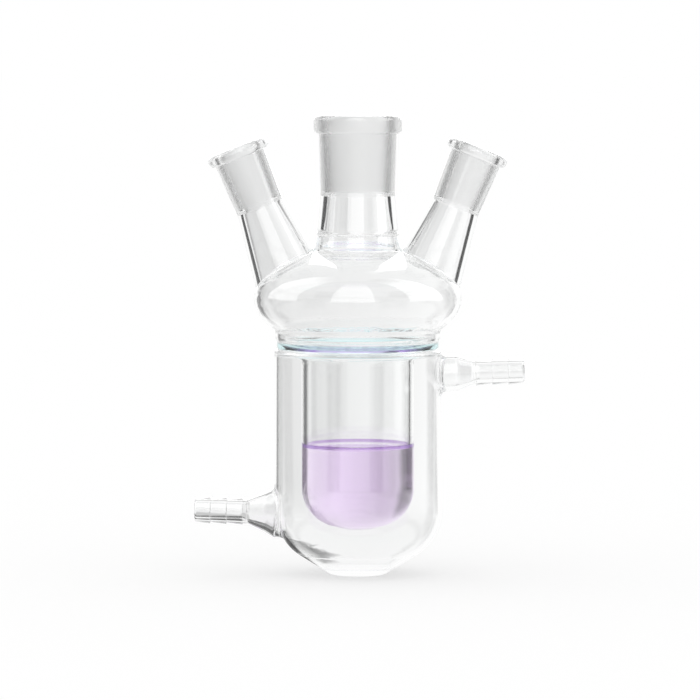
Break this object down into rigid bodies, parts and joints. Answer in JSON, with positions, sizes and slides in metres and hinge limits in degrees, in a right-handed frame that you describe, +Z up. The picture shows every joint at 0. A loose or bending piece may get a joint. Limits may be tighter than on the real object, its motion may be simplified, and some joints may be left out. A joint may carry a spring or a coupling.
{
  "type": "jacketed three neck flask",
  "caption": "Jacketed three neck flask, blown in one piece, with ground sockets, a ring-sealed inner vessel and barbed hose arms, holding a pale purple liquid.",
  "frame": {"origin": "centre of the flat foot, on the surface the flask stands on", "axes": "+Z up through the centre socket, +X towards the upper hose arm, so the side necks and both hose arms lie in the XZ plane"},
  "size_m": [0.1249, 0.0786, 0.1738],
  "materials": {
    "clear_glass": "polished",
    "purple_liquid": "polished"
  },
  "bodies": {
    "root": {"flask_body": "clear_glass", "liquid": "purple_liquid"}
  },
  "joints": []
}
